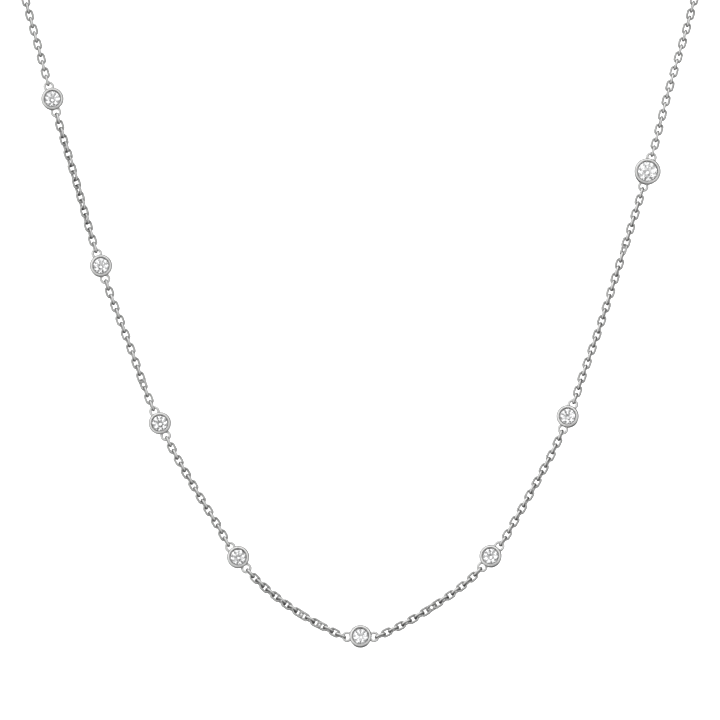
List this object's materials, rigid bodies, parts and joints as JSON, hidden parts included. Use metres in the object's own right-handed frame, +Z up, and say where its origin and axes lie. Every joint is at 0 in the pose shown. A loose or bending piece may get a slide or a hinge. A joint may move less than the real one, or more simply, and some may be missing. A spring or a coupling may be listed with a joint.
{
  "type": "station necklace",
  "caption": "Fine cable-link station necklace with round bezel-set stones spaced along the front, held in its worn form.",
  "frame": {"origin": "nape of the neck, in the middle of the clasp, where the worn necklace rests", "axes": "+Z up, the wearer faces -Y, and +X is the wearer's left, on the right of the picture"},
  "size_m": [0.1182, 0.0761, 0.1335],
  "materials": {
    "setting_metal": "polished white gold",
    "chain_metal": "polished white gold",
    "clasp_metal": "polished white gold",
    "stone": "clear cut stone"
  },
  "bodies": {
    "root": {"setting_1": "setting_metal", "setting_2": "setting_metal", "setting_3": "setting_metal", "setting_4": "setting_metal", "setting_5": "setting_metal", "setting_6": "setting_metal", "setting_7": "setting_metal", "setting_8": "setting_metal", "stone_1": "stone", "stone_2": "stone", "stone_3": "stone", "stone_4": "stone", "stone_5": "stone", "stone_6": "stone", "stone_7": "stone", "stone_8": "stone", "chain_front_right": "chain_metal", "chain_front_left": "chain_metal", "chain_back_right": "chain_metal", "chain_back_left": "chain_metal", "clasp": "clasp_metal"}
  },
  "joints": []
}
